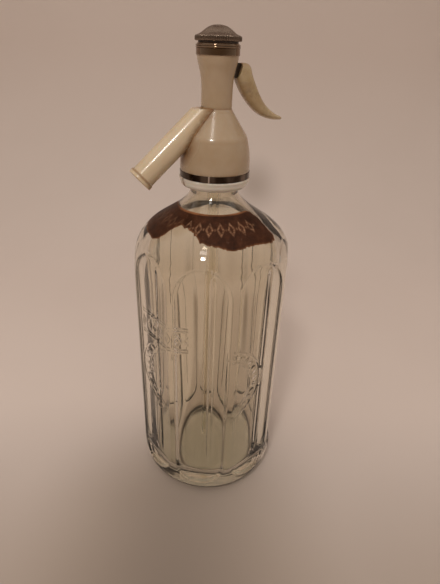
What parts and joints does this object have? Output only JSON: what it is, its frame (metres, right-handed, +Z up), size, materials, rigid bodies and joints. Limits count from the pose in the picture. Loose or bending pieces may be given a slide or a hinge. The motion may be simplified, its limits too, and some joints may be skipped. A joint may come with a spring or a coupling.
{
  "type": "soda siphon",
  "caption": "Panelled glass soda siphon with a moulded head: a thumb lever lifts a spring-loaded valve and lets the charged water out through a sloping spout.",
  "frame": {"origin": "centre of the bottle's foot, on the surface it stands on", "axes": "+Z up the bottle, the spout points to -X and down, the lever stands on the +X side, the picture looks at the side between -Y and -X, 25 degrees from -Y"},
  "size_m": [0.1028, 0.1028, 0.3035],
  "materials": {
    "bottle_glass": "clear pressed glass, slightly grey-green",
    "collar_plastic": "white moulded plastic",
    "band_chrome": "dark chromed band",
    "head_plastic": "ivory moulded plastic, aged",
    "spout_plastic": "ivory moulded plastic, stained near the joint",
    "lever_plastic": "ivory moulded plastic",
    "lever_metal": "tarnished brass",
    "pin_steel": "drawn steel",
    "cap_chrome": "worn chrome",
    "cap_dull": "dulled chrome, knurled rim",
    "valve_brass": "turned brass",
    "seal_rubber": "black rubber",
    "gasket_rubber": "red-brown rubber",
    "seat_plastic": "natural moulded plastic",
    "tube_plastic": "clear tube, slightly yellowed",
    "spring_steel": "spring wire"
  },
  "bodies": {
    "siphon": {"bottle": "bottle_glass", "collar_half_front": "collar_plastic", "collar_half_rear": "collar_plastic", "base_band": "band_chrome", "neck_gasket": "gasket_rubber", "head_body": "head_plastic", "spout": "spout_plastic", "valve_seat": "valve_brass", "tube_ferrule": "seat_plastic", "tube_washer": "seal_rubber", "dip_tube": "tube_plastic", "cap_bush": "cap_chrome", "cap_gasket": "seal_rubber", "top_cap": "cap_dull", "lever_pin": "pin_steel", "valve_spring": "spring_steel"},
    "lever": {"lever_handle": "lever_plastic", "lever_arm": "lever_metal"},
    "valve": {"valve_stem": "valve_brass", "valve_washer": "seal_rubber", "washer_screw": "valve_brass", "stem_seal": "seal_rubber"}
  },
  "joints": [
    {"name": "lever_pivot", "type": "hinge", "parent": "siphon", "child": "lever", "pos_m": [0.0074, 0, 0.2818], "axis": [0, 1, 0], "range_deg": [0, 18]},
    {"name": "valve_lift", "type": "slide", "parent": "siphon", "child": "valve", "axis": [0, 0, 1], "range_m": [0, 0.00201], "stiffness_N_per_m": 1500, "springref_m": -0.0085, "deforming": ["valve_spring"]}
  ],
  "couplings": [
    {"joint": "lever_pivot", "follows": "valve_lift", "rad_per_m": 156.25}
  ]
}
